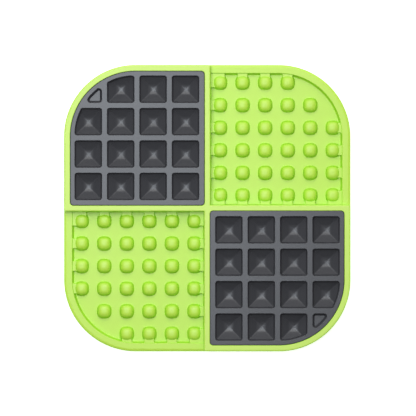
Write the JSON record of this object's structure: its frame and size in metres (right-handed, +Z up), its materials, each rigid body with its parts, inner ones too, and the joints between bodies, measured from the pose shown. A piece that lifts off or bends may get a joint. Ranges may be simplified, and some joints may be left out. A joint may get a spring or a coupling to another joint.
{
  "type": "lick mat",
  "caption": "Square moulded lick mat with round corners: green tray with studded wells, and grey inserts with grids of square pockets with funnel-shaped floors.",
  "frame": {"origin": "middle of the flat underside, on the surface that the mat rests on", "axes": "+Z up out of the mat's face, +X to the right and +Y to the back, so that the inserts are at the back left and the front right"},
  "size_m": [0.2, 0.2, 0.012],
  "materials": {
    "green_rubber": "matte",
    "grey_rubber": "satin"
  },
  "bodies": {
    "root": {"tray": "green_rubber", "grid_insert_back_left": "grey_rubber", "grid_insert_front_right": "grey_rubber"}
  },
  "joints": []
}
